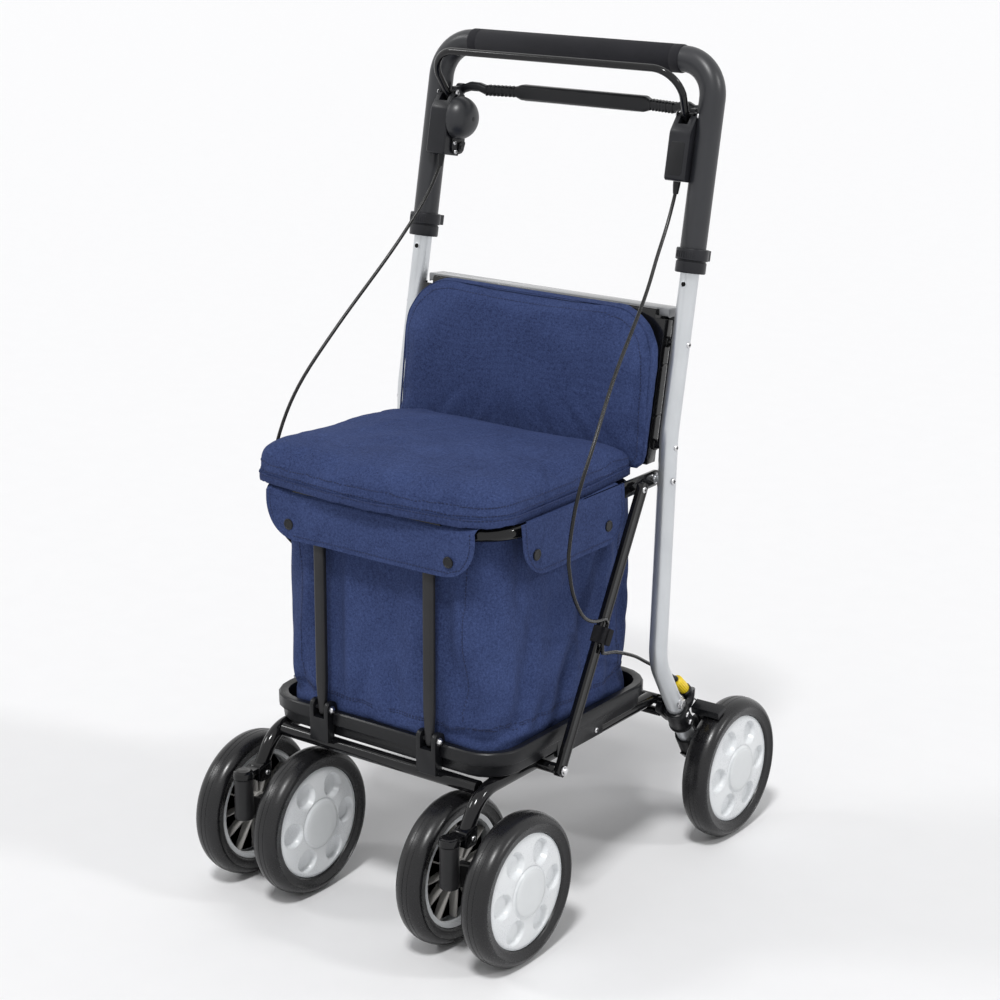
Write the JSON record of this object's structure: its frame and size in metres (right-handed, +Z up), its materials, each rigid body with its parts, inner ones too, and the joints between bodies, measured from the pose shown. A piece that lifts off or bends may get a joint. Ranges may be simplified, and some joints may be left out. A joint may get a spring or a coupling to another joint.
{
  "type": "shopping rollator",
  "caption": "Folding wheeled walking aid with a height-adjustable brake handle, padded seat and backrest over a cloth bag, swivelling front wheels and braked rear wheels.",
  "frame": {"origin": "on the floor, under the middle of the object's outer box", "axes": "+Z up, the front faces -Y, +X is the right side as seen from the front"},
  "size_m": [0.4326, 0.5776, 0.9288],
  "materials": {
    "silver_tube": "satin",
    "gloss_black_steel": "gloss",
    "matt_black_steel": "matt",
    "black_plastic": "satin",
    "charcoal_foam": "matt foam",
    "navy_fabric": "plain weave",
    "seat_board": "matt",
    "black_rubber": "satin",
    "pale_grey_hub": "satin",
    "yellow_plastic": "satin",
    "cable_sheath": "satin",
    "charcoal_strap": "webbing"
  },
  "bodies": {
    "rear_frame": {"upright_left": "silver_tube", "upright_right": "silver_tube", "rear_bracket_left": "black_plastic", "rear_bracket_right": "black_plastic", "wheel_holder_left": "black_plastic", "wheel_holder_right": "black_plastic", "rear_cross_brace": "gloss_black_steel", "cable_adjuster_left": "yellow_plastic", "cable_adjuster_right": "yellow_plastic", "back_panel": "black_plastic", "backrest_cushion": "navy_fabric", "brake_cable_left": "cable_sheath", "brake_cable_right": "cable_sheath"},
    "handle": {"handle_tube": "matt_black_steel", "grip_sleeve": "charcoal_foam", "collar_left": "black_plastic", "collar_right": "black_plastic", "lever_housing_left": "black_plastic", "lever_housing_right": "black_plastic", "bell": "matt_black_steel"},
    "brake_loop": {"brake_loop": "gloss_black_steel"},
    "parking_bar": {"parking_bar": "black_plastic"},
    "bell_lever": {"bell_lever": "black_plastic"},
    "base": {"leg_tube_left": "gloss_black_steel", "leg_tube_right": "gloss_black_steel", "front_crossbar": "gloss_black_steel", "rear_pivot_tube": "gloss_black_steel", "tray": "black_plastic", "post_clip_left": "black_plastic", "post_clip_right": "black_plastic", "bag_body": "navy_fabric"},
    "seat_frame": {"seat_hoop": "gloss_black_steel", "front_flap": "navy_fabric", "side_flap_left": "navy_fabric", "side_flap_right": "navy_fabric"},
    "front_posts": {"front_post_left": "matt_black_steel", "front_post_right": "matt_black_steel", "seat_hinge": "silver_tube"},
    "seat_lid": {"seat_cushion": "navy_fabric", "seat_board": "seat_board"},
    "strut_left": {"strut_left": "gloss_black_steel", "cable_strap_left": "charcoal_strap"},
    "caster_left": {"caster_fork_left": "matt_black_steel"},
    "wheel_rear_left": {"tyre_rear_left": "black_rubber", "hub_rear_left": "pale_grey_hub"},
    "brake_left": {"brake_lever_left": "black_plastic"},
    "wheel_front_left_outer": {"tyre_front_left_outer": "black_rubber", "hub_front_left_outer": "pale_grey_hub"},
    "wheel_front_left_inner": {"tyre_front_left_inner": "black_rubber", "hub_front_left_inner": "pale_grey_hub"},
    "strut_right": {"strut_right": "gloss_black_steel", "cable_strap_right": "charcoal_strap"},
    "caster_right": {"caster_fork_right": "matt_black_steel"},
    "wheel_rear_right": {"tyre_rear_right": "black_rubber", "hub_rear_right": "pale_grey_hub"},
    "brake_right": {"brake_lever_right": "black_plastic"},
    "wheel_front_right_outer": {"tyre_front_right_outer": "black_rubber", "hub_front_right_outer": "pale_grey_hub"},
    "wheel_front_right_inner": {"tyre_front_right_inner": "black_rubber", "hub_front_right_inner": "pale_grey_hub"}
  },
  "joints": [
    {"name": "handle_height", "type": "slide", "parent": "rear_frame", "child": "handle", "axis": [0, 0.1977, 0.9803], "range_m": [-0.025, 0.045], "deforming": ["brake_cable_left", "brake_cable_right"]},
    {"name": "brake_squeeze", "type": "hinge", "parent": "handle", "child": "brake_loop", "pos_m": [0, 0.1368, 0.8571], "axis": [-1, 0, 0], "range_deg": [0, 20], "stiffness_Nm_per_rad": 1.2, "springref_deg": -5.73},
    {"name": "parking_brake", "type": "hinge", "parent": "handle", "child": "parking_bar", "pos_m": [0, 0.16, 0.859], "axis": [-1, 0, 0], "range_deg": [0, 30]},
    {"name": "bell_strike", "type": "hinge", "parent": "handle", "child": "bell_lever", "pos_m": [-0.1477, 0.137, 0.795], "axis": [1, 0, 0], "range_deg": [0, 8], "stiffness_Nm_per_rad": 0.15},
    {"name": "base_fold", "type": "hinge", "parent": "rear_frame", "child": "base", "pos_m": [0, 0.1165, 0.187], "axis": [-1, 0, 0], "range_deg": [0, 48], "deforming": ["bag_body", "front_flap"]},
    {"name": "seat_rise", "type": "hinge", "parent": "rear_frame", "child": "seat_frame", "pos_m": [0, 0.074, 0.4665], "axis": [-1, 0, 0], "range_deg": [0, 54.2]},
    {"name": "post_swing", "type": "hinge", "parent": "base", "child": "front_posts", "pos_m": [0, -0.2093, 0.2278], "axis": [-1, 0, 0], "range_deg": [-54.2, 0]},
    {"name": "seat_lift", "type": "hinge", "parent": "front_posts", "child": "seat_lid", "pos_m": [0, -0.2196, 0.474], "axis": [-1, 0, 0], "range_deg": [-80, 0]},
    {"name": "strut_left_swing", "type": "hinge", "parent": "base", "child": "strut_left", "pos_m": [-0.179, -0.116, 0.187], "axis": [-1, 0, 0], "range_deg": [-60.5, 0]},
    {"name": "caster_left_swivel", "type": "hinge", "parent": "base", "child": "caster_left", "pos_m": [-0.144, -0.2655, 0.146], "axis": [0, 0, 1], "range_deg": [-20, 20]},
    {"name": "wheel_front_left_outer_spin", "type": "hinge", "parent": "caster_left", "child": "wheel_front_left_outer", "pos_m": [-0.187, -0.2045, 0.08427], "axis": [1, 0, 0], "continuous": true},
    {"name": "wheel_front_left_inner_spin", "type": "hinge", "parent": "caster_left", "child": "wheel_front_left_inner", "pos_m": [-0.101, -0.2045, 0.08427], "axis": [1, 0, 0], "continuous": true},
    {"name": "wheel_rear_left_spin", "type": "hinge", "parent": "rear_frame", "child": "wheel_rear_left", "pos_m": [-0.198, 0.2045, 0.08427], "axis": [1, 0, 0], "continuous": true},
    {"name": "brake_left_press", "type": "hinge", "parent": "rear_frame", "child": "brake_left", "pos_m": [-0.1745, 0.1897, 0.141], "axis": [1, 0, 0], "range_deg": [0, 8.2]},
    {"name": "strut_right_swing", "type": "hinge", "parent": "base", "child": "strut_right", "pos_m": [0.179, -0.116, 0.187], "axis": [-1, 0, 0], "range_deg": [-60.5, 0]},
    {"name": "caster_right_swivel", "type": "hinge", "parent": "base", "child": "caster_right", "pos_m": [0.144, -0.2655, 0.146], "axis": [0, 0, 1], "range_deg": [-20, 20]},
    {"name": "wheel_front_right_outer_spin", "type": "hinge", "parent": "caster_right", "child": "wheel_front_right_outer", "pos_m": [0.187, -0.2045, 0.08427], "axis": [1, 0, 0], "continuous": true},
    {"name": "wheel_front_right_inner_spin", "type": "hinge", "parent": "caster_right", "child": "wheel_front_right_inner", "pos_m": [0.101, -0.2045, 0.08427], "axis": [1, 0, 0], "continuous": true},
    {"name": "wheel_rear_right_spin", "type": "hinge", "parent": "rear_frame", "child": "wheel_rear_right", "pos_m": [0.198, 0.2045, 0.08427], "axis": [1, 0, 0], "continuous": true},
    {"name": "brake_right_press", "type": "hinge", "parent": "rear_frame", "child": "brake_right", "pos_m": [0.1745, 0.1897, 0.141], "axis": [1, 0, 0], "range_deg": [0, 8.2]}
  ],
  "couplings": [
    {"joint": "seat_rise", "follows": "base_fold", "ratio": 1.1194},
    {"joint": "post_swing", "follows": "base_fold", "ratio": -1.1186},
    {"joint": "strut_left_swing", "follows": "base_fold", "ratio": -1.25},
    {"joint": "brake_left_press", "follows": "brake_squeeze", "ratio": 0.4},
    {"joint": "strut_right_swing", "follows": "base_fold", "ratio": -1.25},
    {"joint": "brake_right_press", "follows": "brake_squeeze", "ratio": 0.4}
  ]
}
